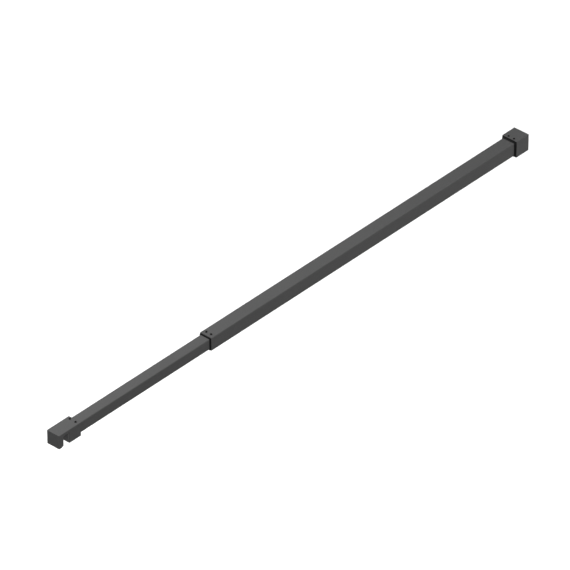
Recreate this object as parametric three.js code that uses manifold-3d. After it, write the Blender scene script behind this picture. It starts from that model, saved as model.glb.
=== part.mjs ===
// Telescopic square bracing bar: a wall bracket, an outer tube, a sliding inner tube and a
// slotted clamp that hooks over the edge of a panel, locked by six grub screws.
// Units are millimetres. The origin is the centre of the bracket's wall face, the bar runs
// along -X away from the wall, +Z is up, and the "front" pieces are those on the -Y side.

import * as THREE from 'three';
import { mergeVertices } from 'three/addons/utils/BufferGeometryUtils.js';
import Module from 'manifold-3d';

const wasm = await Module();
wasm.setup();

// ---- Driving dimensions -------------------------------------------------------------------

const BAR_LENGTH = 895.5; // wall face to the blank end of the clamp, as posed at rest
const EXPOSED_OUTER = 615.5; // wall face to the outer tube's open mouth

const OUTER_SIZE = 20;
const OUTER_WALL = 1.2;
const OUTER_RADIUS = 1.2;

const INNER_SIZE = 16;
const INNER_WALL = 1.2;
const INNER_RADIUS = 1.4;
const INNER_LENGTH = 590;

const BORE_RADIUS = 0.4; // inside corner of both tubes

const BRACKET_SIZE = 25;
const BRACKET_LENGTH = 24.5;
const BRACKET_BASE = 6; // solid floor between the socket and the wall
const SOCKET_PLAY = 0.3; // between a tube and the socket that holds it
const BLOCK_RADIUS = 0.4; // soft edges of the bracket and the clamp
const BLOCK_BEVEL = 0.25;

const WALL_HOLE_DIAMETER = 4.5;
const WALL_HOLE_HEAD = 8; // mouth of the countersink
const WALL_HOLE_SPACING = 9.4; // centre to centre, one above the other

const SEAL_FLANGE = 0.6;
const SEAL_FLANGE_SIZE = 24.5;
const SEAL_LIP = 1.9; // stands out from the flange along the tube
const SEAL_LIP_SIZE = 22;
const SEAL_LIP_RADIUS = 1.7;
const SEAL_LIP_BEVEL = 0.3;
const SEAL_SPIGOT = 1.3; // sits in the bracket's counterbore
const COUNTERBORE_SIZE = 22.6;
const COUNTERBORE_DEPTH = 1.5;

const COLLAR_LINER = 30; // length inside the outer tube
const COLLAR_LIP = 1.8; // stands out of the outer tube's mouth
const COLLAR_LIP_SIZE = 18.1;
const COLLAR_LIP_RADIUS = 1;
const COLLAR_LIP_BEVEL = 0.3;
const LINER_RADIUS = 0.5;
const PASSAGE_RADIUS = 0.8;
const COLLAR_HOLE_DIAMETER = 3.6; // lets the mouth screws through to the inner tube
const SLIDE_PLAY = 0.15; // between sliding faces, and between glued faces
const GLUE_GAP = 0.1;

const GLIDE_HEAD = 6;
const GLIDE_RADIUS = 1;
const GLIDE_BEVEL = 0.4;
const GLIDE_SPIGOT = 12;
const GLIDE_HOLLOW = 9;
const GLIDE_FLOOR = 2;

const CLAMP_SIZE = 20.5;
const CLAMP_LENGTH = 39.6;
const OUTER_JAW = 8.2;
const SLOT_WIDTH = 10.5;
const SLOT_DEPTH = 16;
const LEAD_IN_RUN = 3.8; // chamfer on the outer jaw's tip, along the bar
const LEAD_IN_RISE = 1.8;
const CLAMP_SOCKET_DEPTH = 15;
const CLAMP_SOCKET_SIZE = 16.4;

const PAD_THICKNESS = 0.6;
const PAD_WIDTH = 18;
const PAD_RADIUS = 0.5;
const CEILING_PAD_RADIUS = 0.2;
const JAW_PAD_BOTTOM = -7.8;
const PLATE_THICKNESS = 1.5;
const PLATE_WIDTH = 19.9;
const PLATE_BOTTOM = -9;
const PLATE_RADIUS = 0.5;

const LOCK_SCREW_DIAMETER = 3;
const LOCK_SCREW_LENGTH = 3; // it stands out of every block by 0.6 to 1.1 mm
const LOCK_SCREW_SOCKET = 1.5; // across flats
const LOCK_SCREW_SOCKET_DEPTH = 1.4;
const CLAMP_SCREW_DIAMETER = 6;
const CLAMP_SCREW_LENGTH = 8;
const CLAMP_SCREW_SOCKET = 3;
const CLAMP_SCREW_SOCKET_DEPTH = 3.5;
const SCREW_CHAMFER = 0.3;
const THREAD_PLAY = 0.1; // radial, between a screw and its hole
const TIP_GAP = 0.1; // between a screw's tip and what it presses on

const BRACKET_SCREW_INSET = 3.5; // screw centre from the bracket's mouth
const BRACKET_SCREW_SPREAD = 4.6; // screw centre from the bar's axis
const MOUTH_SCREW_INSET = 5.7;
const MOUTH_SCREW_SPREAD = 4.1;
const CLAMP_LOCK_INSET = 4;
const CLAMP_LOCK_SPREAD = 4.9;

const OVERRUN = 1; // how far a cutter runs past the face that it opens
const CORNER_STEPS = 6;
const BLOCK_CORNER_STEPS = 3;
const BEVEL_STEPS = 2;
const ROUND_STEPS = 32;

// ---- Stations along the bar ---------------------------------------------------------------

const bracketMouth = -BRACKET_LENGTH;
const socketFloor = -BRACKET_BASE;
const outerMouth = -EXPOSED_OUTER;
const outerEnd = socketFloor - SOCKET_PLAY;
const clampEnd = -BAR_LENGTH;
const clampMouth = clampEnd + CLAMP_LENGTH;
const slotStart = clampEnd + OUTER_JAW;
const slotEnd = slotStart + SLOT_WIDTH;
const clampFloor = clampMouth - CLAMP_SOCKET_DEPTH;
const innerStart = clampFloor + SOCKET_PLAY;
const innerEnd = innerStart + INNER_LENGTH;
const slotCeiling = SLOT_DEPTH - CLAMP_SIZE / 2;

const outerBore = OUTER_SIZE - 2 * OUTER_WALL;
const innerBore = INNER_SIZE - 2 * INNER_WALL;

// ---- Materials ----------------------------------------------------------------------------

const powderCoat = new THREE.MeshStandardMaterial({ color: 0x2e2e2f, roughness: 0.7, metalness: 0.1 });
const blackPlastic = new THREE.MeshStandardMaterial({ color: 0x0b0b0c, roughness: 0.55, metalness: 0 });
const blackRubber = new THREE.MeshStandardMaterial({ color: 0x0d0d0d, roughness: 0.9, metalness: 0 });
const blackenedSteel = new THREE.MeshStandardMaterial({ color: 0x17171a, roughness: 0.45, metalness: 0.8 });

// ---- Geometry helpers ---------------------------------------------------------------------

const AXIS_X = new THREE.Vector3(1, 0, 0);
const AXIS_Y = new THREE.Vector3(0, 1, 0);
const AXIS_Z = new THREE.Vector3(0, 0, 1);
const SECTION_ALONG_X = new THREE.Matrix4().makeBasis(AXIS_Y, AXIS_Z, AXIS_X);
const PROFILE_ALONG_Y = new THREE.Matrix4().makeBasis(AXIS_X, AXIS_Z, AXIS_Y.clone().negate());

// A closed three.js geometry as a solid that can be joined and cut.
function toSolid(geometry) {
  const bare = geometry.clone();
  bare.deleteAttribute('normal');
  bare.deleteAttribute('uv');
  const merged = mergeVertices(bare);
  return new wasm.Manifold(new wasm.Mesh({
    numProp: 3,
    vertProperties: merged.attributes.position.array,
    triVerts: Uint32Array.from(merged.index.array),
  }));
}

function toGeometry(solid) {
  const mesh = solid.getMesh();
  const geometry = new THREE.BufferGeometry();
  geometry.setAttribute('position', new THREE.BufferAttribute(mesh.vertProperties, mesh.numProp));
  geometry.setIndex(new THREE.BufferAttribute(mesh.triVerts, 1));
  geometry.computeVertexNormals();
  return geometry;
}

function roundedRectangle(width, height, radius) {
  const right = width / 2 - radius;
  const top = height / 2 - radius;
  const shape = new THREE.Shape();
  shape.absarc(right, -top, radius, -Math.PI / 2, 0);
  shape.absarc(right, top, radius, 0, Math.PI / 2);
  shape.absarc(-right, top, radius, Math.PI / 2, Math.PI);
  shape.absarc(-right, -top, radius, Math.PI, 1.5 * Math.PI);
  shape.closePath();
  return shape;
}

// A straight prism of a Y-Z section between two stations on X, its end edges bevelled if asked.
function prism(shape, from, to, bevel = 0) {
  const geometry = new THREE.ExtrudeGeometry(shape, {
    depth: to - from - 2 * bevel,
    curveSegments: CORNER_STEPS,
    bevelEnabled: bevel > 0,
    bevelThickness: bevel,
    bevelSize: bevel,
    bevelOffset: -bevel,
    bevelSegments: BEVEL_STEPS,
  });
  geometry.translate(0, 0, from + bevel);
  geometry.applyMatrix4(SECTION_ALONG_X);
  return toSolid(geometry);
}

function squarePrism(size, radius, from, to, bevel) {
  return prism(roundedRectangle(size, size, radius), from, to, bevel);
}

function tube(size, radius, bore, boreRadius, from, to) {
  const shape = roundedRectangle(size, size, radius);
  shape.holes.push(roundedRectangle(bore, bore, boreRadius));
  return prism(shape, from, to);
}

// A plate standing across the bar: width on Y, between two heights on Z.
function crossPlate(width, bottom, top, radius, from, to) {
  const plate = prism(roundedRectangle(width, top - bottom, radius), from, to);
  return plate.translate([0, 0, (bottom + top) / 2]);
}

// A round cutter standing on Z, through the top wall of a tube or block.
function topHole(x, y, diameter, bottom, top) {
  const geometry = new THREE.CylinderGeometry(diameter / 2, diameter / 2, top - bottom, ROUND_STEPS);
  geometry.rotateX(Math.PI / 2);
  geometry.translate(x, y, (bottom + top) / 2);
  return toSolid(geometry);
}

// A headless screw on Z, its tip at height 0, with chamfered ends and a hexagon socket on top.
function grubScrew(diameter, length, acrossFlats, socketDepth) {
  const radius = diameter / 2;
  const outline = [
    [0, 0],
    [radius - SCREW_CHAMFER, 0],
    [radius, SCREW_CHAMFER],
    [radius, length - SCREW_CHAMFER],
    [radius - SCREW_CHAMFER, length],
    [0, length],
  ].map(([r, z]) => new THREE.Vector2(r, z));
  const body = new THREE.LatheGeometry(outline, ROUND_STEPS);
  body.rotateX(Math.PI / 2);
  const hexRadius = acrossFlats / Math.sqrt(3);
  const hexagon = new THREE.CylinderGeometry(hexRadius, hexRadius, 2 * socketDepth, 6);
  hexagon.rotateX(Math.PI / 2);
  hexagon.translate(0, 0, length);
  return toSolid(body).subtract(toSolid(hexagon));
}

const part = new THREE.Group();

function addPiece(name, solid, material) {
  const mesh = new THREE.Mesh(toGeometry(solid), material);
  mesh.name = name;
  part.add(mesh);
  return mesh;
}

// The two places across the bar where a pair of lock screws stands.
function screwPair(spread) {
  return [['front', -spread], ['back', spread]];
}

function cutTopHoles(solid, x, spread, diameter, bottom, top) {
  return screwPair(spread).reduce(
    (cut, [, y]) => cut.subtract(topHole(x, y, diameter, bottom, top)),
    solid,
  );
}

const lockHoleDiameter = LOCK_SCREW_DIAMETER + 2 * THREAD_PLAY;

// ---- Wall bracket -------------------------------------------------------------------------

const bracketScrewX = bracketMouth + BRACKET_SCREW_INSET;
const bracketSocket = OUTER_SIZE + 2 * SOCKET_PLAY;

function countersunkHole(z) {
  const outline = [
    [0, socketFloor - OVERRUN],
    [WALL_HOLE_HEAD / 2 + OVERRUN, socketFloor - OVERRUN],
    [WALL_HOLE_DIAMETER / 2, socketFloor + (WALL_HOLE_HEAD - WALL_HOLE_DIAMETER) / 2],
    [WALL_HOLE_DIAMETER / 2, OVERRUN],
    [0, OVERRUN],
  ].map(([r, x]) => new THREE.Vector2(r, x));
  const geometry = new THREE.LatheGeometry(outline, ROUND_STEPS);
  geometry.rotateZ(-Math.PI / 2);
  geometry.translate(0, 0, z);
  return toSolid(geometry);
}

function wallBracket() {
  let body = squarePrism(BRACKET_SIZE, BLOCK_RADIUS, bracketMouth, 0, BLOCK_BEVEL);
  body = body.subtract(squarePrism(bracketSocket, OUTER_RADIUS, bracketMouth - OVERRUN, socketFloor));
  body = body.subtract(squarePrism(COUNTERBORE_SIZE, OUTER_RADIUS, bracketMouth - OVERRUN,
    bracketMouth + COUNTERBORE_DEPTH));
  body = cutTopHoles(body, bracketScrewX, BRACKET_SCREW_SPREAD, lockHoleDiameter,
    OUTER_SIZE / 2 - OVERRUN, BRACKET_SIZE);
  for (const side of [-1, 1]) {
    body = body.subtract(countersunkHole(side * WALL_HOLE_SPACING / 2));
  }
  return body;
}

addPiece('wall_bracket', wallBracket(), powderCoat);

// ---- Black seal around the outer tube, in the bracket's mouth -----------------------------

function bracketSeal() {
  const flangeBack = bracketMouth - GLUE_GAP;
  const flangeFront = flangeBack - SEAL_FLANGE;
  const spigotSize = COUNTERBORE_SIZE - 2 * SLIDE_PLAY;
  const flange = squarePrism(SEAL_FLANGE_SIZE, BLOCK_RADIUS, flangeFront, flangeBack);
  const lipFront = flangeFront - SEAL_LIP;
  const spigotBack = bracketMouth + SEAL_SPIGOT;
  const lip = squarePrism(SEAL_LIP_SIZE, SEAL_LIP_RADIUS, lipFront, flangeBack, SEAL_LIP_BEVEL);
  const spigot = squarePrism(spigotSize, OUTER_RADIUS, flangeFront, spigotBack);
  const passage = squarePrism(OUTER_SIZE + 2 * SLIDE_PLAY, OUTER_RADIUS,
    lipFront - OVERRUN, spigotBack + OVERRUN);
  return flange.add(lip).add(spigot).subtract(passage);
}

addPiece('bracket_seal', bracketSeal(), blackRubber);

// ---- Outer tube ---------------------------------------------------------------------------

const mouthScrewX = outerMouth + MOUTH_SCREW_INSET;

function outerTube() {
  const body = tube(OUTER_SIZE, OUTER_RADIUS, outerBore, BORE_RADIUS, outerMouth, outerEnd);
  return cutTopHoles(body, mouthScrewX, MOUTH_SCREW_SPREAD, lockHoleDiameter,
    outerBore / 2 - OVERRUN, OUTER_SIZE);
}

addPiece('outer_tube', outerTube(), powderCoat);

// ---- Guide collar in the outer tube's mouth -----------------------------------------------

function mouthCollar() {
  const linerSize = outerBore - 2 * SLIDE_PLAY;
  const passageSize = INNER_SIZE + 2 * SLIDE_PLAY;
  const lipFront = outerMouth - COLLAR_LIP;
  const lipBack = outerMouth - GLUE_GAP;
  const linerBack = outerMouth + COLLAR_LINER;
  const lip = squarePrism(COLLAR_LIP_SIZE, COLLAR_LIP_RADIUS, lipFront, lipBack, COLLAR_LIP_BEVEL);
  const liner = squarePrism(linerSize, LINER_RADIUS, (lipFront + lipBack) / 2, linerBack);
  const passage = squarePrism(passageSize, PASSAGE_RADIUS, lipFront - OVERRUN, linerBack + OVERRUN);
  const body = lip.add(liner).subtract(passage);
  return cutTopHoles(body, mouthScrewX, MOUTH_SCREW_SPREAD, COLLAR_HOLE_DIAMETER,
    INNER_SIZE / 2 - OVERRUN, OUTER_SIZE);
}

addPiece('mouth_collar', mouthCollar(), blackPlastic);

// ---- Inner tube and the glide plugged into its hidden end ---------------------------------

addPiece(
  'inner_tube',
  tube(INNER_SIZE, INNER_RADIUS, innerBore, BORE_RADIUS, innerStart, innerEnd),
  powderCoat,
);

function innerGlide() {
  const headStart = innerEnd + GLUE_GAP;
  const headEnd = headStart + GLIDE_HEAD;
  const spigotStart = innerEnd - GLIDE_SPIGOT;
  const head = squarePrism(outerBore - 2 * SLIDE_PLAY, GLIDE_RADIUS, headStart, headEnd, GLIDE_BEVEL);
  const spigot = squarePrism(innerBore - 2 * SLIDE_PLAY, BORE_RADIUS, spigotStart,
    headStart + GLIDE_HEAD / 2);
  const hollow = squarePrism(GLIDE_HOLLOW, GLIDE_RADIUS, spigotStart + GLIDE_FLOOR, headEnd + OVERRUN);
  return head.add(spigot).subtract(hollow);
}

addPiece('inner_glide', innerGlide(), blackPlastic);

// ---- Panel clamp --------------------------------------------------------------------------

const clampLockX = clampMouth - CLAMP_LOCK_INSET;

// The block's outline seen from the front, with each corner rounded by BLOCK_RADIUS.
function clampProfile() {
  const half = CLAMP_SIZE / 2;
  const corners = [
    [clampEnd, -half],
    [slotStart - LEAD_IN_RUN, -half],
    [slotStart, -half + LEAD_IN_RISE],
    [slotStart, slotCeiling],
    [slotEnd, slotCeiling],
    [slotEnd, -half],
    [clampMouth, -half],
    [clampMouth, half],
    [clampEnd, half],
  ].map(([x, z]) => new THREE.Vector2(x, z));
  const shape = new THREE.Shape();
  corners.forEach((corner, i) => {
    const before = corners.at(i - 1).clone().sub(corner).setLength(BLOCK_RADIUS).add(corner);
    const after = corners[(i + 1) % corners.length].clone().sub(corner).setLength(BLOCK_RADIUS)
      .add(corner);
    if (i === 0) shape.moveTo(before.x, before.y);
    else shape.lineTo(before.x, before.y);
    shape.quadraticCurveTo(corner.x, corner.y, after.x, after.y);
  });
  shape.closePath();
  return shape;
}

function panelClamp() {
  const geometry = new THREE.ExtrudeGeometry(clampProfile(), {
    depth: CLAMP_SIZE - 2 * BLOCK_BEVEL,
    curveSegments: BLOCK_CORNER_STEPS,
    bevelThickness: BLOCK_BEVEL,
    bevelSize: BLOCK_BEVEL,
    bevelOffset: -BLOCK_BEVEL,
    bevelSegments: BEVEL_STEPS,
  });
  geometry.translate(0, 0, BLOCK_BEVEL - CLAMP_SIZE / 2);
  geometry.applyMatrix4(PROFILE_ALONG_Y);
  let body = toSolid(geometry);
  body = body.subtract(
    squarePrism(CLAMP_SOCKET_SIZE, INNER_RADIUS, clampFloor, clampMouth + OVERRUN),
  );
  body = cutTopHoles(body, clampLockX, CLAMP_LOCK_SPREAD, lockHoleDiameter,
    INNER_SIZE / 2 - OVERRUN, CLAMP_SIZE);
  const screwHoleRadius = CLAMP_SCREW_DIAMETER / 2 + THREAD_PLAY;
  const screwHole = new THREE.CylinderGeometry(screwHoleRadius, screwHoleRadius,
    clampFloor - slotEnd + 2 * OVERRUN, ROUND_STEPS);
  screwHole.rotateZ(Math.PI / 2);
  screwHole.translate((clampFloor + slotEnd) / 2, 0, 0);
  return body.subtract(toSolid(screwHole));
}

addPiece('panel_clamp', panelClamp(), powderCoat);

// ---- Pads, pressure plate and clamp screw in the slot -------------------------------------

const ceilingPadTop = slotCeiling - GLUE_GAP;
const ceilingPadBottom = ceilingPadTop - PAD_THICKNESS;
const plateBack = slotEnd - SLIDE_PLAY;
const plateFront = plateBack - PLATE_THICKNESS;
const jawPadBack = slotStart + GLUE_GAP;
const jawPadFace = jawPadBack + PAD_THICKNESS;
const padTop = ceilingPadBottom - GLUE_GAP;

addPiece(
  'jaw_pad',
  crossPlate(PAD_WIDTH, JAW_PAD_BOTTOM, padTop, PAD_RADIUS, jawPadBack, jawPadFace),
  blackRubber,
);

addPiece(
  'ceiling_pad',
  crossPlate(PAD_WIDTH, ceilingPadBottom, ceilingPadTop, CEILING_PAD_RADIUS,
    jawPadFace + GLUE_GAP, plateFront - GLUE_GAP),
  blackRubber,
);

addPiece(
  'pressure_plate',
  crossPlate(PLATE_WIDTH, PLATE_BOTTOM, padTop - GLUE_GAP, PLATE_RADIUS, plateFront, plateBack),
  powderCoat,
);

const clampScrew = addPiece(
  'clamp_screw',
  grubScrew(CLAMP_SCREW_DIAMETER, CLAMP_SCREW_LENGTH, CLAMP_SCREW_SOCKET, CLAMP_SCREW_SOCKET_DEPTH),
  blackenedSteel,
);
clampScrew.rotation.y = Math.PI / 2;
clampScrew.position.x = plateBack + TIP_GAP;

// ---- Lock screws on top of each joint -----------------------------------------------------

function addLockScrews(name, x, spread, pressedSize) {
  for (const [side, y] of screwPair(spread)) {
    const screw = addPiece(
      `${name}_${side}`,
      grubScrew(LOCK_SCREW_DIAMETER, LOCK_SCREW_LENGTH, LOCK_SCREW_SOCKET, LOCK_SCREW_SOCKET_DEPTH),
      blackenedSteel,
    );
    screw.position.set(x, y, pressedSize / 2 + TIP_GAP);
  }
}

addLockScrews('bracket_screw', bracketScrewX, BRACKET_SCREW_SPREAD, OUTER_SIZE);
addLockScrews('mouth_screw', mouthScrewX, MOUTH_SCREW_SPREAD, INNER_SIZE);
addLockScrews('clamp_lock_screw', clampLockX, CLAMP_LOCK_SPREAD, INNER_SIZE);

export default part;
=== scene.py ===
"""Telescopic square bracing bar: finished meshes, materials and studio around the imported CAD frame.

The bar runs along X, its wall face at X = 0, and +Z is up. Lengths are metres; MM turns millimetres
into them. Each piece takes its place and outer size from the CAD node that it stands for.
"""

import math

import bmesh
import bpy
from mathutils import Matrix, Vector


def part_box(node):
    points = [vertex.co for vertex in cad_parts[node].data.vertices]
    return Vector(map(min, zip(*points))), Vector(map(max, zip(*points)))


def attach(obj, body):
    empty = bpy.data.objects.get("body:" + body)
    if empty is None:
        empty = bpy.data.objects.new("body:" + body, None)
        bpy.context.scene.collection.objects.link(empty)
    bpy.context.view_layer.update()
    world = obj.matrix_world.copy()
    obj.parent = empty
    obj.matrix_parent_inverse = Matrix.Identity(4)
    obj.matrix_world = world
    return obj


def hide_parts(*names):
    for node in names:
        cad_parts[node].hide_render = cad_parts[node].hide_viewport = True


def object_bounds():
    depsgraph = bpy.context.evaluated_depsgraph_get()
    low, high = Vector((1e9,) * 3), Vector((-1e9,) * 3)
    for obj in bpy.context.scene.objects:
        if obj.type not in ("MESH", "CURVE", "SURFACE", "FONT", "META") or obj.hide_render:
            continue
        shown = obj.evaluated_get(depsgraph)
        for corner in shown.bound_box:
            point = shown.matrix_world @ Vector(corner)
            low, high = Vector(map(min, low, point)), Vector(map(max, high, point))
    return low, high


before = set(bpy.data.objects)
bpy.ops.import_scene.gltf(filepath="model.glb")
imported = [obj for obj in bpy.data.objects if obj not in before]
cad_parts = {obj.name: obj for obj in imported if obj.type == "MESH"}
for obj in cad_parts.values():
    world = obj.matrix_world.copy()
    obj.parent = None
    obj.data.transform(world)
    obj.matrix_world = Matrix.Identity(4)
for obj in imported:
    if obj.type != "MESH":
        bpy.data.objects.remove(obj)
cad_low, cad_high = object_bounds()

MM = 0.001
MERGE_DISTANCE = 0.0001 * MM
PAST_FACE = 1 * MM  # how far a cutter reaches through a surface
WELL_PAST_FACE = 2 * MM
PAST_FLOOR = 0.5 * MM

# Sections that the boxes of the CAD nodes don't give
OUTER_WALL = 1.2 * MM
OUTER_RADIUS = 1.2 * MM
INNER_WALL = 1.2 * MM
INNER_RADIUS = 1.4 * MM
BORE_RADIUS = 0.4 * MM
TUBE_DEBURR = 0.15 * MM

BLOCK_RADIUS = 0.4 * MM
BLOCK_FILLET = 0.35 * MM
BRACKET_BASE = 6 * MM
SOCKET_PLAY = 0.3 * MM
SOCKET_CHAMFER = 0.1 * MM
STEP_CHAMFER = 0.05 * MM  # at the counterbore and the clamp's socket
COUNTERBORE = 22.6 * MM
COUNTERBORE_DEPTH = 1.5 * MM
WALL_HOLE_RADIUS = 2.25 * MM
WALL_HOLE_HEAD_RADIUS = 4 * MM
WALL_HOLE_SPACING = 9.4 * MM

SEAL_FLANGE = 0.6 * MM
SEAL_FLANGE_RADIUS = BLOCK_RADIUS + 0.2 * MM
SEAL_LIP_SIZE = 22 * MM
SEAL_LIP_RADIUS = OUTER_RADIUS + 0.5 * MM
SEAL_FILLET = 0.25 * MM
SEAL_GAP = 0.1 * MM
SLIDE_PLAY = 0.15 * MM

COLLAR_LIP_BACK = 0.1 * MM
COLLAR_LIP_RADIUS = 1 * MM
COLLAR_FILLET = 0.3 * MM
COLLAR_HOLE_PLAY = 0.3 * MM
LINER_RADIUS = 0.5 * MM
PASSAGE_RADIUS = 0.8 * MM
MOULDED_FILLET = 0.4 * MM  # outer edges of the seal, the collar and the glide
SPIGOT_CHAMFER = 0.2 * MM
BACK_CHAMFER = 0.1 * MM

GLIDE_HEAD = 6 * MM
GLIDE_HOLLOW = 9 * MM
GLIDE_FLOOR = 2 * MM
GLIDE_RADIUS = 1 * MM
GLIDE_CHAMFER = 0.3 * MM

OUTER_JAW = 8.2 * MM
SLOT_WIDTH = 10.5 * MM
SLOT_DEPTH = 16 * MM
LEAD_IN_RUN = 3.8 * MM
LEAD_IN_RISE = 1.8 * MM
CLAMP_SOCKET = 16.4 * MM
CLAMP_SOCKET_DEPTH = 15 * MM

PLATE_RADIUS = 0.5 * MM
PLATE_EDGE = 0.3 * MM
SEAT_DEPTH = 0.3 * MM  # the shallow seat for the clamp screw's point
SEAT_PLAY = 0.3 * MM

THREAD_PLAY = 0.1 * MM
HOLE_CHAMFER = 0.15 * MM
LOCK_PITCH = 0.5 * MM
LOCK_HEX = 1.5 * MM
LOCK_HEX_DEPTH = 1.4 * MM
CLAMP_PITCH = 1 * MM
CLAMP_HEX = 3 * MM
CLAMP_HEX_DEPTH = 3.5 * MM
THREAD_DEPTH = 0.55  # of the pitch
THREAD_CREST = 0.12  # share of the pitch along the flat crest
THREAD_FLANK = 0.7  # share of the pitch along both flanks
THREAD_ROWS = 14  # rings in each turn
THREAD_CHAMFER = 0.6  # of the thread's depth, at both ends
CUP_FLOOR = 0.12  # of the screw's radius, as are the next two
CUP_RADIUS = 0.55
CUP_RIM = 0.62
CUP_EDGE = 0.02 * MM  # how far the cup's wide end lies behind its rim
CENTRE_RADIUS = 0.02 * MM  # closes a cup or a socket at its centre
SOCKET_RIM = 1.06  # of the distance from the centre to the hexagon's corners
SOCKET_BEVEL = 0.12  # of the hexagon's size, as is the next
SOCKET_POINT = 0.15

RIB_PITCH = 1 * MM
RIB_HEIGHT = 0.2 * MM
RIB_FOOT = 0.15  # of the pitch: where a rib leaves the base and where its top begins
RIB_SHOULDER = 0.3

CORNER_STEPS = 10
FILLET_STEPS = 4
ROUND_STEPS = 48
SHARP_ANGLE = math.radians(32)


# ---- Mesh helpers -------------------------------------------------------------------------


def make_object(name, verts, faces):
    """A mesh object whose faces all point out."""
    mesh = bpy.data.meshes.new(name)
    mesh.from_pydata([tuple(v) for v in verts], [], faces)
    shell = bmesh.new()
    shell.from_mesh(mesh)
    bmesh.ops.remove_doubles(shell, verts=shell.verts, dist=MERGE_DISTANCE)
    bmesh.ops.recalc_face_normals(shell, faces=shell.faces)
    shell.to_mesh(mesh)
    shell.free()
    obj = bpy.data.objects.new(name, mesh)
    bpy.context.scene.collection.objects.link(obj)
    return obj


def loft(name, rings, joined=False):
    """A closed skin through rings of equal point counts, capped at both ends or joined last to first."""
    count = len(rings[0])
    verts = [point for ring in rings for point in ring]
    faces = []
    for k in range(len(rings) if joined else len(rings) - 1):
        here = k * count
        there = (k + 1) % len(rings) * count
        for i in range(count):
            j = (i + 1) % count
            faces.append((here + i, here + j, there + j, there + i))
    if not joined:
        faces.append(tuple(range(count)))
        faces.append(tuple(range(len(verts) - count, len(verts))))
    return make_object(name, verts, faces)


def rectangle_ring(x, half_y, half_z, radius, centre_z=0.0):
    """A rounded rectangle standing across the bar at x."""
    ring = []
    for corner in range(4):
        y = (half_y - radius) * (1 if corner in (0, 3) else -1)
        z = (half_z - radius) * (1 if corner in (0, 1) else -1)
        for i in range(CORNER_STEPS + 1):
            angle = math.pi / 2 * (corner + i / CORNER_STEPS)
            ring.append((x, y + radius * math.cos(angle), centre_z + z + radius * math.sin(angle)))
    return ring


def fillet(size):
    """(distance behind the end face, inset from the side) along a quarter round, from face to side."""
    angles = [math.pi / 2 * i / FILLET_STEPS for i in range(FILLET_STEPS + 1)]
    return [(size * (1 - math.cos(angle)), size * (1 - math.sin(angle))) for angle in angles]


def chamfer(size):
    """The same along a 45 degree bevel."""
    return [(0.0, size), (size, 0.0)]


def square_profile(start, end, half, radius, start_edge, end_edge):
    """(x, half size, corner radius) from one end face to the other, over the edges given."""
    profile = [(start + back, half - inset, radius - inset) for back, inset in start_edge]
    profile += [(end - back, half - inset, radius - inset) for back, inset in reversed(end_edge)]
    return profile


def bore_profile(start, end, half, radius, start_edge, end_edge):
    """The same for a hole, walked from the far end back, its edges opening outwards."""
    profile = [(end - back, half + inset, radius + inset) for back, inset in end_edge]
    profile += [(start + back, half + inset, radius + inset) for back, inset in reversed(start_edge)]
    return profile


def square_rings(profile):
    return [rectangle_ring(x, half, half, radius) for x, half, radius in profile]


def square_block(name, start, end, half, radius, edge):
    """A solid square bar with the same edge at both ends."""
    return loft(name, square_rings(square_profile(start, end, half, radius, edge, edge)))


def square_sleeve(name, outside, inside):
    """A hollow square part: outside walked one way, inside walked back."""
    return loft(name, square_rings(outside + inside), joined=True)


def round_block(name, profile, centre, direction="Z"):
    """A turned solid: (distance along the axis, radius) from one end to the other."""
    rings = []
    for along, radius in profile:
        ring = []
        for i in range(ROUND_STEPS):
            angle = 2 * math.pi * i / ROUND_STEPS
            across = (radius * math.cos(angle), radius * math.sin(angle))
            if direction == "Z":
                point = (across[0], across[1], along)
            else:
                point = (along, across[0], across[1])
            ring.append(Vector(point) + Vector(centre))
        rings.append(ring)
    return loft(name, rings)


def cut(piece, cutters):
    """Takes the cutters out of the piece and removes them."""
    for cutter in cutters:
        boolean = piece.modifiers.new("cut", "BOOLEAN")
        boolean.operation = "DIFFERENCE"
        boolean.solver = "EXACT"
        boolean.object = cutter
    graph = bpy.context.evaluated_depsgraph_get()
    mesh = bpy.data.meshes.new_from_object(piece.evaluated_get(graph))
    piece.modifiers.clear()
    piece.data = mesh
    for cutter in cutters:
        bpy.data.objects.remove(cutter)


def clean_up(piece):
    """Merges coincident points and removes faces without area, which a cut can leave."""
    shell = bmesh.new()
    shell.from_mesh(piece.data)
    bmesh.ops.remove_doubles(shell, verts=shell.verts, dist=MERGE_DISTANCE)
    bmesh.ops.dissolve_degenerate(shell, edges=shell.edges, dist=MERGE_DISTANCE)
    shell.to_mesh(piece.data)
    shell.free()


def top_hole_cutters(screws, top):
    """Cutters for the screw holes in a wall whose outer surface is at top, with a small chamfer there."""
    cutters = []
    for node in screws:
        low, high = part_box(node)
        radius = (high.x - low.x) / 2 + THREAD_PLAY
        centre = ((low.x + high.x) / 2, (low.y + high.y) / 2, 0)
        profile = [
            (low.z - PAST_FACE, radius),
            (top - HOLE_CHAMFER, radius),
            (top + PAST_FACE, radius + HOLE_CHAMFER + PAST_FACE),
        ]
        cutters.append(round_block("cutter", profile, centre))
    return cutters


# ---- Materials ----------------------------------------------------------------------------


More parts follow.
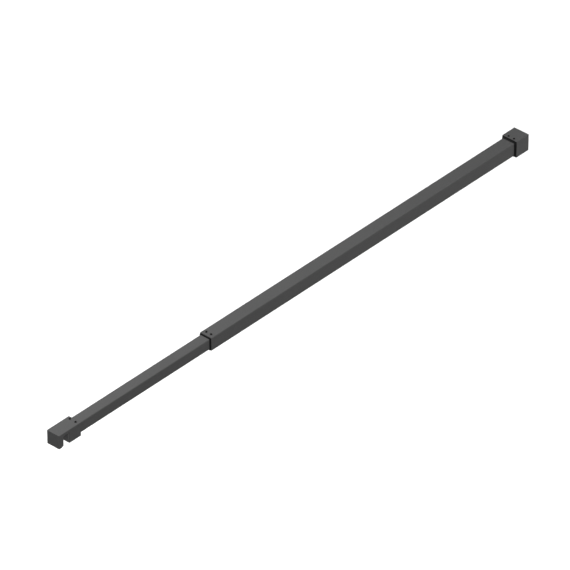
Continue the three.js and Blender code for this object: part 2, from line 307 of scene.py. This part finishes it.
class Nodes:
    """A material's node tree, with its coordinates and shader ready."""

    def __init__(self, name):
        self.material = bpy.data.materials.new(name)
        self.material.use_nodes = True
        self.tree = self.material.node_tree
        self.shader = self.tree.nodes["Principled BSDF"]
        self.coordinates = self.tree.nodes.new("ShaderNodeTexCoord").outputs["Object"]

    def link(self, source, target):
        self.tree.links.new(source, target)

    def noise(self, size, detail=2.0, stretch=(1, 1, 1)):
        """Noise whose grains are about size metres across."""
        mapping = self.tree.nodes.new("ShaderNodeMapping")
        mapping.inputs["Scale"].default_value = stretch
        self.link(self.coordinates, mapping.inputs["Vector"])
        noise = self.tree.nodes.new("ShaderNodeTexNoise")
        noise.inputs["Scale"].default_value = 1 / size
        noise.inputs["Detail"].default_value = detail
        self.link(mapping.outputs["Vector"], noise.inputs["Vector"])
        return noise.outputs["Fac"]

    def ramp(self, factor, stops):
        """A colour ramp through (position, colour) stops."""
        ramp = self.tree.nodes.new("ShaderNodeValToRGB")
        elements = ramp.color_ramp.elements
        while len(elements) < len(stops):
            elements.new(0.5)
        for element, (position, colour) in zip(elements, stops):
            element.position = position
            element.color = (*colour, 1)
        self.link(factor, ramp.inputs["Fac"])
        return ramp.outputs["Color"]

    def multiply(self, colour, other, share):
        mix = self.tree.nodes.new("ShaderNodeMix")
        mix.data_type = "RGBA"
        mix.blend_type = "MULTIPLY"
        mix.inputs["Factor"].default_value = share
        self.link(colour, mix.inputs["A"])
        self.link(other, mix.inputs["B"])
        return mix.outputs["Result"]

    def map_range(self, factor, low, high):
        node = self.tree.nodes.new("ShaderNodeMapRange")
        node.inputs["To Min"].default_value = low
        node.inputs["To Max"].default_value = high
        self.link(factor, node.inputs["Value"])
        return node.outputs["Result"]

    def bump(self, heights):
        """Stacks (height, depth in metres) bumps and gives them to the shader."""
        normal = None
        for height, depth in heights:
            node = self.tree.nodes.new("ShaderNodeBump")
            node.inputs["Strength"].default_value = 1.0
            node.inputs["Distance"].default_value = depth
            self.link(height, node.inputs["Height"])
            if normal is not None:
                self.link(normal, node.inputs["Normal"])
            normal = node.outputs["Normal"]
        self.link(normal, self.shader.inputs["Normal"])


def grey(value, tint=0.0):
    """A linear grey, its blue raised by the share tint."""
    return (value, value, value * (1 + tint))


def powder_coat(name, dark, light):
    """Fine-textured matt dark grey powder coat: soft orange peel, a fine grain and faint clouding."""
    n = Nodes(name)
    grain = n.noise(0.35 * MM, detail=3)
    peel = n.noise(1.6 * MM, detail=1)
    clouds = n.noise(45 * MM, detail=3, stretch=(0.35, 1, 1))
    base = n.ramp(clouds, [(0.3, grey(dark)), (0.7, grey(light))])
    speckle = n.ramp(grain, [(0.25, grey(0.8)), (0.5, grey(1.0)), (0.8, grey(1.25))])
    n.link(n.multiply(base, speckle, share=0.6), n.shader.inputs["Base Color"])
    n.link(n.map_range(clouds, 0.66, 0.76), n.shader.inputs["Roughness"])
    n.shader.inputs["Specular IOR Level"].default_value = 0.08
    n.bump([(peel, 0.012 * MM), (grain, 0.006 * MM)])
    return n.material


def moulded_plastic():
    """Black acetal: nearly smooth, with the faint sheen of a moulded face."""
    n = Nodes("moulded_black_plastic")
    flow = n.noise(6 * MM, detail=2, stretch=(1, 0.4, 0.4))
    texture = n.noise(0.2 * MM, detail=2)
    colour = n.ramp(flow, [(0.3, grey(0.0018, 0.03)), (0.7, grey(0.0026, 0.03))])
    n.link(colour, n.shader.inputs["Base Color"])
    n.link(n.map_range(flow, 0.55, 0.65), n.shader.inputs["Roughness"])
    n.shader.inputs["Specular IOR Level"].default_value = 0.03
    n.bump([(texture, 0.003 * MM)])
    return n.material


def seal_rubber():
    """Black rubber: dull, with a chalky bloom in places."""
    n = Nodes("bloomed_black_rubber")
    bloom = n.noise(4 * MM, detail=4)
    skin = n.noise(0.3 * MM, detail=3)
    colour = n.ramp(bloom, [(0.35, grey(0.0060)), (0.6, grey(0.0075)), (0.85, grey(0.0110))])
    n.link(colour, n.shader.inputs["Base Color"])
    n.link(n.map_range(bloom, 0.75, 0.9), n.shader.inputs["Roughness"])
    n.shader.inputs["Specular IOR Level"].default_value = 0.03
    n.bump([(skin, 0.008 * MM)])
    return n.material


def blackened_steel():
    """Black oxide on screw steel: dark, half gloss, with a slight brown cast where it is thin."""
    n = Nodes("blackened_screw_steel")
    oxide = n.noise(0.8 * MM, detail=4)
    colour = n.ramp(oxide, [(0.3, (0.004, 0.004, 0.0043)), (0.75, (0.009, 0.0082, 0.0078))])
    n.link(colour, n.shader.inputs["Base Color"])
    n.link(n.map_range(oxide, 0.4, 0.55), n.shader.inputs["Roughness"])
    n.shader.inputs["Metallic"].default_value = 0.3
    n.shader.inputs["Specular IOR Level"].default_value = 0.1
    n.bump([(oxide, 0.004 * MM)])
    return n.material


def floor_paint():
    """Seamless pale studio floor."""
    n = Nodes("studio_floor")
    mottle = n.noise(0.4, detail=2)
    colour = n.ramp(mottle, [(0.3, grey(0.575)), (0.7, grey(0.583))])
    n.link(colour, n.shader.inputs["Base Color"])
    n.link(n.map_range(mottle, 0.85, 0.95), n.shader.inputs["Roughness"])
    n.shader.inputs["Specular IOR Level"].default_value = 0.0
    return n.material


# Finishes: (slot in the record, material)
POWDER_COAT = ("powder_coat", powder_coat("textured_powder_coat", dark=0.0350, light=0.0385))
# The plate's coat is lighter than the bar's: painted light that stands in for the light the clamp's shaded
# slot keeps from the plate's face.
PLATE_COAT_PAINTED_LIGHT = ("powder_coat", powder_coat("plate_powder_coat_painted_light", dark=0.0470, light=0.0515))
BLACK_PLASTIC = ("black_plastic", moulded_plastic())
BLACK_RUBBER = ("black_rubber", seal_rubber())
BLACK_STEEL = ("black_steel", blackened_steel())


def finish_piece(piece, finish, node, body):
    """Gives a piece its shading, finish and body, and hides the CAD node that it replaces."""
    slot, material = finish
    clean_up(piece)
    mesh = piece.data
    mesh.polygons.foreach_set("use_smooth", [True] * len(mesh.polygons))
    mesh.set_sharp_from_angle(angle=SHARP_ANGLE)
    mesh.materials.clear()
    mesh.materials.append(material)
    weighted = piece.modifiers.new("weighted_normals", "WEIGHTED_NORMAL")
    weighted.keep_sharp = True
    weighted.weight = 100
    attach(piece, body)
    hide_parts(node)


# ---- Tubes --------------------------------------------------------------------------------

MOUTH_SCREWS = ["mouth_screw_front", "mouth_screw_back"]
CLAMP_LOCK_SCREWS = ["clamp_lock_screw_front", "clamp_lock_screw_back"]
BRACKET_SCREWS = ["bracket_screw_front", "bracket_screw_back"]


def square_tube(name, node, wall, radius):
    low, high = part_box(node)
    half = (high.y - low.y) / 2
    edge = chamfer(TUBE_DEBURR)
    return square_sleeve(
        name,
        square_profile(low.x, high.x, half, radius, edge, edge),
        bore_profile(low.x, high.x, half - wall, BORE_RADIUS, edge, edge),
    )


def outer_tube():
    tube = square_tube("outer_tube_skin", "outer_tube", OUTER_WALL, OUTER_RADIUS)
    cut(tube, top_hole_cutters(MOUTH_SCREWS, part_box("outer_tube")[1].z))
    finish_piece(tube, POWDER_COAT, "outer_tube", "wall_side")


def inner_tube():
    tube = square_tube("inner_tube_skin", "inner_tube", INNER_WALL, INNER_RADIUS)
    finish_piece(tube, POWDER_COAT, "inner_tube", "panel_side")


# ---- Wall bracket and its seal ------------------------------------------------------------


def wall_bracket():
    low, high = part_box("wall_bracket")
    tube_half = (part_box("outer_tube")[1].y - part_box("outer_tube")[0].y) / 2
    half = high.y
    bracket = square_block("bracket_body", low.x, high.x, half, BLOCK_RADIUS, fillet(BLOCK_FILLET))
    floor = high.x - BRACKET_BASE
    start = low.x - WELL_PAST_FACE
    cutters = [
        square_block("cutter", start, floor, tube_half + SOCKET_PLAY, OUTER_RADIUS, chamfer(SOCKET_CHAMFER)),
        square_block("cutter", start, low.x + COUNTERBORE_DEPTH, COUNTERBORE / 2, OUTER_RADIUS,
                     chamfer(STEP_CHAMFER)),
    ]
    sink = WALL_HOLE_HEAD_RADIUS - WALL_HOLE_RADIUS
    for side in (-1, 1):
        profile = [
            (floor - PAST_FLOOR, WALL_HOLE_HEAD_RADIUS + PAST_FLOOR),
            (floor + sink, WALL_HOLE_RADIUS),
            (high.x - HOLE_CHAMFER, WALL_HOLE_RADIUS),
            (high.x + PAST_FACE, WALL_HOLE_RADIUS + HOLE_CHAMFER + PAST_FACE),
        ]
        cutters.append(round_block("cutter", profile, (0, 0, side * WALL_HOLE_SPACING / 2), "X"))
    cut(bracket, cutters + top_hole_cutters(BRACKET_SCREWS, high.z))
    finish_piece(bracket, POWDER_COAT, "wall_bracket", "wall_side")


def bracket_seal():
    """A soft ring: flange on the bracket's mouth, rounded lip on the tube, spigot in the counterbore."""
    low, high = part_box("bracket_seal")
    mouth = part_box("wall_bracket")[0].x
    tube_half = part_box("outer_tube")[1].y
    flange_half = high.y
    flange_front = mouth - SEAL_GAP - SEAL_FLANGE
    lip_half = SEAL_LIP_SIZE / 2
    spigot_half = COUNTERBORE / 2 - SLIDE_PLAY
    edge = fillet(SEAL_FILLET)
    outside = [(low.x + back, lip_half - inset, SEAL_LIP_RADIUS - inset)
               for back, inset in fillet(MOULDED_FILLET)]
    outside += [(flange_front, lip_half, SEAL_LIP_RADIUS)]
    outside += [(flange_front + back, flange_half - inset, SEAL_FLANGE_RADIUS - inset)
                for back, inset in edge]
    outside += [
        (mouth - SEAL_GAP, flange_half, SEAL_FLANGE_RADIUS),
        (mouth - SEAL_GAP, spigot_half, OUTER_RADIUS),
        (high.x - SPIGOT_CHAMFER, spigot_half, OUTER_RADIUS),
        (high.x, spigot_half - SPIGOT_CHAMFER, OUTER_RADIUS),
    ]
    inside = bore_profile(low.x, high.x, tube_half + SLIDE_PLAY, OUTER_RADIUS, edge, chamfer(BACK_CHAMFER))
    seal = square_sleeve("mouth_seal", outside, inside)
    finish_piece(seal, BLACK_RUBBER, "bracket_seal", "wall_side")


# ---- Guide collar and glide ---------------------------------------------------------------


def mouth_collar():
    low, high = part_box("mouth_collar")
    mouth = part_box("outer_tube")[0].x
    bore_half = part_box("outer_tube")[1].y - OUTER_WALL
    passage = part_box("inner_tube")[1].y + SLIDE_PLAY
    lip_half = high.y
    liner_half = bore_half - SLIDE_PLAY
    outside = [(low.x + back, lip_half - inset, COLLAR_LIP_RADIUS - inset)
               for back, inset in fillet(MOULDED_FILLET)]
    outside += [
        (mouth - COLLAR_LIP_BACK, lip_half, COLLAR_LIP_RADIUS),
        (mouth - COLLAR_LIP_BACK, liner_half, LINER_RADIUS),
        (high.x - SPIGOT_CHAMFER, liner_half, LINER_RADIUS),
        (high.x, liner_half - SPIGOT_CHAMFER, LINER_RADIUS),
    ]
    front_edge, back_edge = fillet(COLLAR_FILLET), chamfer(BACK_CHAMFER)
    inside = bore_profile(low.x, high.x, passage, PASSAGE_RADIUS, front_edge, back_edge)
    collar = square_sleeve("guide_collar", outside, inside)
    cutters = []
    for node in MOUTH_SCREWS:
        screw_low, screw_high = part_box(node)
        centre = ((screw_low.x + screw_high.x) / 2, (screw_low.y + screw_high.y) / 2, 0)
        radius = (screw_high.x - screw_low.x) / 2 + COLLAR_HOLE_PLAY
        profile = [(passage - PAST_FACE, radius), (high.z + WELL_PAST_FACE, radius)]
        cutters.append(round_block("cutter", profile, centre))
    cut(collar, cutters)
    finish_piece(collar, BLACK_PLASTIC, "mouth_collar", "wall_side")


def inner_glide():
    """A hollow plug: its head fills the outer tube's bore, its spigot the inner tube's."""
    low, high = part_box("inner_glide")
    head_half = high.y
    head_start = high.x - GLIDE_HEAD
    spigot_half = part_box("inner_tube")[1].y - INNER_WALL - SLIDE_PLAY
    hollow = GLIDE_HOLLOW / 2
    soft = fillet(MOULDED_FILLET)
    profile = [(low.x + back, spigot_half - inset, BORE_RADIUS) for back, inset in chamfer(GLIDE_CHAMFER)]
    profile += [(head_start, spigot_half, BORE_RADIUS)]
    profile += square_profile(head_start, high.x, head_half, GLIDE_RADIUS, soft, soft)
    profile += [
        (high.x, hollow + GLIDE_CHAMFER, GLIDE_RADIUS),
        (high.x - GLIDE_CHAMFER, hollow, GLIDE_RADIUS),
        (low.x + GLIDE_FLOOR, hollow, GLIDE_RADIUS),
    ]
    glide = loft("tube_glide", square_rings(profile))
    finish_piece(glide, BLACK_PLASTIC, "inner_glide", "panel_side")


# ---- Panel clamp --------------------------------------------------------------------------


def rounded_outline(corners, radius, inset):
    """The outline through corners, walked anticlockwise: moved in by inset, every corner an arc.

    Outer corners lose the inset from their radius and inner corners gain it.
    """
    points = []
    count = len(corners)
    for i, corner in enumerate(corners):
        into = (corner - corners[i - 1]).normalized()
        out = (corners[(i + 1) % count] - corner).normalized()
        turn = into.x * out.y - into.y * out.x
        into_normal = Vector((-into.y, into.x))
        out_normal = Vector((-out.y, out.x))
        bisector = (into_normal + out_normal) / (1 + into_normal.dot(out_normal))
        side = 1 if turn > 0 else -1
        arc = radius - side * inset
        centre = corner + bisector * (inset + side * arc)
        start = -into_normal * side
        sweep = math.atan2(turn, into.dot(out))
        for k in range(FILLET_STEPS + 1):
            angle = sweep * k / FILLET_STEPS
            spoke = Matrix.Rotation(angle, 2) @ start
            points.append(centre + spoke * arc)
    return points


def panel_clamp():
    low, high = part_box("panel_clamp")
    slot_start = low.x + OUTER_JAW
    slot_end = slot_start + SLOT_WIDTH
    ceiling = low.z + SLOT_DEPTH
    corners = [
        Vector((low.x, low.z)),
        Vector((slot_start - LEAD_IN_RUN, low.z)),
        Vector((slot_start, low.z + LEAD_IN_RISE)),
        Vector((slot_start, ceiling)),
        Vector((slot_end, ceiling)),
        Vector((slot_end, low.z)),
        Vector((high.x, low.z)),
        Vector((high.x, high.z)),
        Vector((low.x, high.z)),
    ]
    stations = [(low.y + back, inset) for back, inset in fillet(BLOCK_FILLET)]
    stations += [(high.y - back, inset) for back, inset in reversed(fillet(BLOCK_FILLET))]
    rings = [[(p.x, y, p.y) for p in rounded_outline(corners, BLOCK_RADIUS, inset)] for y, inset in stations]
    clamp = loft("clamp_block", rings)
    socket_floor = high.x - CLAMP_SOCKET_DEPTH
    screw_low, screw_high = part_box("clamp_screw")
    screw_hole = (screw_high.y - screw_low.y) / 2 + THREAD_PLAY
    screw_passage = [
        (slot_end - PAST_FACE, screw_hole + PAST_FACE + HOLE_CHAMFER),
        (slot_end + HOLE_CHAMFER, screw_hole),
        (socket_floor + PAST_FACE, screw_hole),
    ]
    cutters = [
        square_block("cutter", socket_floor, high.x + WELL_PAST_FACE, CLAMP_SOCKET / 2, INNER_RADIUS,
                     chamfer(STEP_CHAMFER)),
        round_block("cutter", screw_passage, (0, 0, 0), "X"),
    ]
    cut(clamp, cutters + top_hole_cutters(CLAMP_LOCK_SCREWS, high.z))
    finish_piece(clamp, POWDER_COAT, "panel_clamp", "panel_side")


# ---- Pads and pressure plate --------------------------------------------------------------


def ribbed_pad(name, node, face):
    """A glued rubber pad with fine ribs on its working face, running across the bar."""
    low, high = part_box(node)
    along_x = face == "+X"
    start, end = (low.z, high.z) if along_x else (low.x, high.x)
    back, top = (low.x, high.x) if along_x else (high.z, low.z)
    base = top - RIB_HEIGHT if along_x else top + RIB_HEIGHT
    ribs = int((end - start) / RIB_PITCH)
    margin = (end - start - ribs * RIB_PITCH) / 2
    outline = [(start, back), (start, base)]
    for k in range(ribs):
        left = start + margin + k * RIB_PITCH
        outline += [
            (left + RIB_FOOT * RIB_PITCH, base),
            (left + RIB_SHOULDER * RIB_PITCH, top),
            (left + (1 - RIB_SHOULDER) * RIB_PITCH, top),
            (left + (1 - RIB_FOOT) * RIB_PITCH, base),
        ]
    outline += [(end, base), (end, back)]
    rings = []
    for y in (low.y, high.y):
        rings.append([(d, y, s) if along_x else (s, y, d) for s, d in outline])
    pad = loft(name, rings)
    finish_piece(pad, BLACK_RUBBER, node, "panel_side")


def pressure_plate():
    low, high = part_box("pressure_plate")
    half_y = (high.y - low.y) / 2
    half_z = (high.z - low.z) / 2
    middle = (high.z + low.z) / 2
    stations = [(low.x + back, inset) for back, inset in fillet(PLATE_EDGE)]
    stations += [(high.x - back, inset) for back, inset in reversed(fillet(PLATE_EDGE))]
    rings = [rectangle_ring(x, half_y - inset, half_z - inset, PLATE_RADIUS - inset, middle)
             for x, inset in stations]
    plate = loft("grip_plate", rings)
    screw_low, screw_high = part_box("clamp_screw")
    seat = (screw_high.y - screw_low.y) / 2 + SEAT_PLAY
    seat_profile = [(high.x - SEAT_DEPTH, seat), (high.x + PAST_FACE, seat)]
    cut(plate, [round_block("cutter", seat_profile, (0, 0, 0), "X")])
    # The plate's lighter coat is painted light for its place in the clamp's shaded slot.
    finish_piece(plate, PLATE_COAT_PAINTED_LIGHT, "pressure_plate", "pressure_plate")


# ---- Screws -------------------------------------------------------------------------------


def circle(radius, height):
    angles = [2 * math.pi * i / ROUND_STEPS for i in range(ROUND_STEPS)]
    return [(radius * math.cos(angle), radius * math.sin(angle), height) for angle in angles]


def hexagon(across_flats, height):
    """A hexagon with as many points as a circle, so that the two can be lofted together."""
    ring = []
    for i in range(ROUND_STEPS):
        angle = 2 * math.pi * i / ROUND_STEPS
        from_flat = (angle + math.pi / 6) % (math.pi / 3) - math.pi / 6
        radius = across_flats / 2 / math.cos(from_flat)
        ring.append((radius * math.cos(angle), radius * math.sin(angle), height))
    return ring


def threaded_screw(name, radius, length, pitch, hex_size, hex_depth):
    """A headless screw with a real thread, a cup point at height 0 and a hexagon socket on top."""
    depth = THREAD_DEPTH * pitch
    rows = math.ceil(length / pitch * THREAD_ROWS)
    end_chamfer = THREAD_CHAMFER * depth
    rings = [
        circle(CENTRE_RADIUS, CUP_FLOOR * radius),
        circle(CUP_RADIUS * radius, CUP_EDGE),
        circle(CUP_RIM * radius, 0),
    ]
    for row in range(rows + 1):
        height = length * row / rows
        ring = []
        for i in range(ROUND_STEPS):
            angle = 2 * math.pi * i / ROUND_STEPS
            phase = (height / pitch - i / ROUND_STEPS) % 1
            valley = min(max((abs(2 * phase - 1) - THREAD_CREST) / THREAD_FLANK, 0), 1)
            from_end = min(height, length - height)
            limit = radius - max(0, end_chamfer - from_end)
            here = min(radius - depth * valley, limit)
            ring.append((here * math.cos(angle), here * math.sin(angle), height))
        rings.append(ring)
    rings += [
        circle(hex_size / math.sqrt(3) * SOCKET_RIM, length),
        hexagon(hex_size, length - SOCKET_BEVEL * hex_size),
        hexagon(hex_size, length - hex_depth),
        circle(CENTRE_RADIUS, length - hex_depth - SOCKET_POINT * hex_size),
    ]
    return loft(name, rings)


def lock_screw(node, body):
    low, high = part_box(node)
    screw = threaded_screw(f"{node}_threaded", (high.x - low.x) / 2, high.z - low.z,
                           LOCK_PITCH, LOCK_HEX, LOCK_HEX_DEPTH)
    place = Matrix.Translation(((low.x + high.x) / 2, (low.y + high.y) / 2, low.z))
    screw.data.transform(place)
    finish_piece(screw, BLACK_STEEL, node, body)


def clamp_screw():
    low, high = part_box("clamp_screw")
    screw = threaded_screw("clamp_screw_threaded", (high.y - low.y) / 2, high.x - low.x,
                           CLAMP_PITCH, CLAMP_HEX, CLAMP_HEX_DEPTH)
    screw.data.transform(Matrix.Translation((low.x, 0, 0)) @ Matrix.Rotation(math.pi / 2, 4, "Y"))
    finish_piece(screw, BLACK_STEEL, "clamp_screw", "clamp_screw")


# ---- All pieces ---------------------------------------------------------------------------

outer_tube()
inner_tube()
wall_bracket()
bracket_seal()
mouth_collar()
inner_glide()
panel_clamp()
ribbed_pad("jaw_pad_ribbed", "jaw_pad", "+X")
ribbed_pad("ceiling_pad_ribbed", "ceiling_pad", "-Z")
pressure_plate()
clamp_screw()
for screw_node in MOUTH_SCREWS + CLAMP_LOCK_SCREWS + BRACKET_SCREWS:
    lock_screw(screw_node, screw_node)

# ---- Camera -------------------------------------------------------------------------------

CAMERA_AZIMUTH = math.radians(48.13)  # of the view direction, from +Y towards +X
CAMERA_ELEVATION = math.radians(35.15)
CAMERA_DISTANCE = 8.9375
CAMERA_LENS = 442.5
CAMERA_REACH = 60
AIM_RIGHT = 12 * MM  # the camera stands this far left of the bar's middle
AIM_UP = 0.5 * MM  # and this far below it

middle = Vector(((cad_low.x + cad_high.x) / 2, 0, 0))
right = Vector((math.cos(CAMERA_AZIMUTH), -math.sin(CAMERA_AZIMUTH), 0))
level = Vector((math.sin(CAMERA_AZIMUTH), math.cos(CAMERA_AZIMUTH), 0))
forward = level * math.cos(CAMERA_ELEVATION) + Vector((0, 0, -math.sin(CAMERA_ELEVATION)))
above = right.cross(forward)

camera = bpy.data.objects.new("camera", bpy.data.cameras.new("camera"))
camera.data.lens = CAMERA_LENS
camera.data.clip_end = CAMERA_REACH
camera.location = middle - forward * CAMERA_DISTANCE - right * AIM_RIGHT - above * AIM_UP
camera.rotation_euler = Matrix((right, above, -forward)).transposed().to_euler()
bpy.context.scene.collection.objects.link(camera)
bpy.context.scene.camera = camera

# ---- Studio -------------------------------------------------------------------------------

FLOOR_DROP = 0.5  # below the bar's middle line
FLOOR_REACH = 30  # from the bar's middle to each side
BAND_END = 0.05  # sine of the elevation where the pale band at eye level starts to fade
SKY_START = 0.15  # and where it has faded

floor_corners = [(-1, -1), (1, -1), (1, 1), (-1, 1)]
studio_floor = make_object(
    "studio_floor",
    [(middle.x + x * FLOOR_REACH, y * FLOOR_REACH, -FLOOR_DROP) for x, y in floor_corners],
    [(0, 1, 2, 3)],
)
studio_floor.data.materials.append(floor_paint())


def area_light(name, place, aim, size, power):
    light = bpy.data.lights.new(name, "AREA")
    light.shape = "SQUARE"
    light.size = size
    light.energy = power
    lamp = bpy.data.objects.new(name, light)
    lamp.location = place
    lamp.rotation_euler = (Vector(aim) - Vector(place)).to_track_quat("-Z", "Y").to_euler()
    lamp.visible_camera = False
    bpy.context.scene.collection.objects.link(lamp)


def sun_light(name, direction, strength, softness):
    """A sun whose light travels along direction; softness is its disc's angle in degrees."""
    light = bpy.data.lights.new(name, "SUN")
    light.energy = strength
    light.angle = math.radians(softness)
    lamp = bpy.data.objects.new(name, light)
    lamp.rotation_euler = Vector(direction).to_track_quat("-Z", "Y").to_euler()
    bpy.context.scene.collection.objects.link(lamp)


def studio_world(sky, horizon):
    """An even soft sky, with a pale band at eye level that carries on where the floor ends."""
    world = bpy.data.worlds.new("studio")
    world.use_nodes = True
    tree = world.node_tree
    background = tree.nodes["Background"]
    direction = tree.nodes.new("ShaderNodeTexCoord").outputs["Generated"]
    split = tree.nodes.new("ShaderNodeSeparateXYZ")
    tree.links.new(direction, split.inputs["Vector"])
    height = tree.nodes.new("ShaderNodeMath")
    height.operation = "ABSOLUTE"
    tree.links.new(split.outputs["Z"], height.inputs[0])
    ramp = tree.nodes.new("ShaderNodeValToRGB")
    for element, (position, level) in zip(ramp.color_ramp.elements, [(BAND_END, horizon), (SKY_START, sky)]):
        element.position = position
        element.color = (*grey(level), 1)
    tree.links.new(height.outputs[0], ramp.inputs["Fac"])
    tree.links.new(ramp.outputs["Color"], background.inputs["Color"])
    background.inputs["Strength"].default_value = 1.0
    bpy.context.scene.world = world


studio_world(sky=0.1, horizon=1.05)
sun_light("overhead", direction=(0, 0, -1), strength=3.8, softness=30)
sun_light("front", direction=(0.94, 1, -1), strength=1.8, softness=20)
sun_light("back", direction=(-0.4, -1, -0.35), strength=1.05, softness=20)
area_light("key", place=(-0.95, 0.25, 0.9), aim=(-0.85, 0, 0), size=0.5, power=12.9)
area_light("fill", place=(0.25, -0.9, 0.25), aim=(-0.1, 0, 0), size=0.5, power=5.2)

bpy.context.scene.view_settings.view_transform = "Standard"
